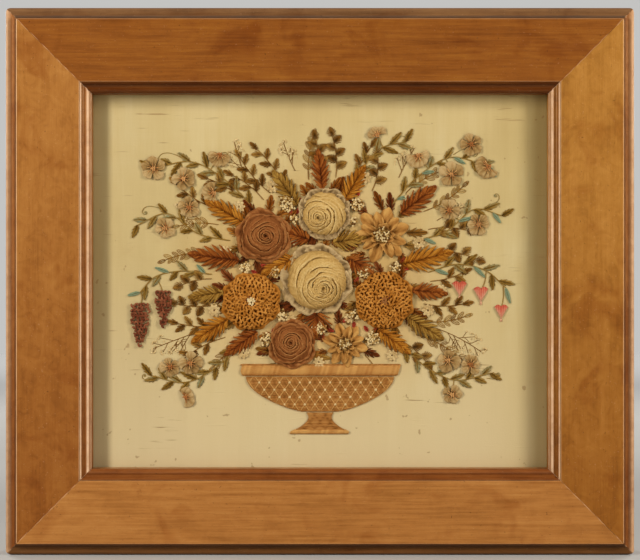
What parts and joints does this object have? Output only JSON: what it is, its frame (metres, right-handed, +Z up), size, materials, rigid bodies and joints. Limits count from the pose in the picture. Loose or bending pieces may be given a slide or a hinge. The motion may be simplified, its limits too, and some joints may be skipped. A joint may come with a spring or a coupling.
{
  "type": "framed silk embroidery picture in a wooden picture frame",
  "caption": "Stretched silk embroidered in raised silk and chenille work with a footed bowl of flowers, in a mitred wooden picture frame with a coved edge and a beaded lip.",
  "frame": {"origin": "middle of the picture's flat back, on the plane that rests on the wall", "axes": "+Z up the picture, -Y out of its face towards the viewer, +X to the viewer's right, +Y into the wall"},
  "size_m": [0.552, 0.036, 0.48],
  "materials": {
    "face_veneer": "satin honey-brown fruitwood veneer, grain along each rail, small dark nicks",
    "edge_moulding": "polished darker brown wood, light where the edges are worn",
    "lip_moulding": "polished darker brown wood with a bright bead",
    "panel_wood": "bare aged pine board",
    "silk_ground_cloth": "golden-cream plain-weave silk with slubs and small foxing spots",
    "gauze_cream": "sheer cream silk gauze, gathered",
    "crepe_ochre": "ochre silk crepe, ruched",
    "crepe_mauve": "mauve-brown silk crepe, rolled in a spiral",
    "crepe_tan": "tan silk crepe petals round a knotted centre",
    "chenille_plum": "dark red-brown silk chenille",
    "chenille_rust": "rust-brown silk chenille",
    "chenille_brown": "olive-brown silk chenille",
    "floss_gold": "golden-brown silk floss, laid and couched",
    "floss_olive": "olive-brown silk floss in stem, satin and knotted stitches",
    "chenille_purple": "purple-brown silk chenille loops",
    "floss_coral": "faded coral silk floss in satin stitch"
  },
  "bodies": {
    "root": {"rail_top": "face_veneer", "edge_top": "edge_moulding", "lip_top": "lip_moulding", "rail_right": "face_veneer", "edge_right": "edge_moulding", "lip_right": "lip_moulding", "rail_bottom": "face_veneer", "edge_bottom": "edge_moulding", "lip_bottom": "lip_moulding", "rail_left": "face_veneer", "edge_left": "edge_moulding", "lip_left": "lip_moulding", "panel": "panel_wood", "silk_ground": "silk_ground_cloth", "rose_centre": "gauze_cream", "rose_top": "gauze_cream", "carnation_left": "crepe_ochre", "carnation_right": "crepe_ochre", "spiral_upper_left": "crepe_mauve", "spiral_lower_left": "crepe_mauve", "star_upper_right": "crepe_tan", "star_lower_right": "crepe_tan", "leaf_left_high": "chenille_plum", "leaf_rim_left": "chenille_plum", "leaf_top": "chenille_plum", "leaf_right_top": "chenille_plum", "leaf_right_middle": "chenille_plum", "leaf_gap_upper_left": "chenille_plum", "leaf_gap_right": "chenille_plum", "leaf_gap_low": "chenille_plum", "leaf_left_top": "chenille_rust", "leaf_left_low": "chenille_rust", "leaf_top_right": "chenille_rust", "leaf_right_high": "chenille_rust", "leaf_rim_right": "chenille_rust", "leaf_gap_left": "chenille_rust", "leaf_left_middle": "chenille_brown", "leaf_top_left": "chenille_brown", "leaf_right_low": "chenille_brown", "leaf_gap_upper_right": "chenille_brown", "bowl_body": "floss_gold", "bowl_rim": "floss_gold", "bowl_foot": "floss_gold", "spray_upper_left": "floss_olive", "spray_upper_right": "floss_olive", "spray_top": "floss_olive", "spray_middle_left": "floss_olive", "spray_middle_right": "floss_olive", "spray_left": "floss_olive", "spray_right": "floss_olive", "spray_lower_left": "floss_olive", "spray_lower_right": "floss_olive", "cluster_outer": "chenille_purple", "cluster_inner": "chenille_purple", "heart_inner": "floss_coral", "heart_middle": "floss_coral", "heart_outer": "floss_coral"}
  },
  "joints": []
}
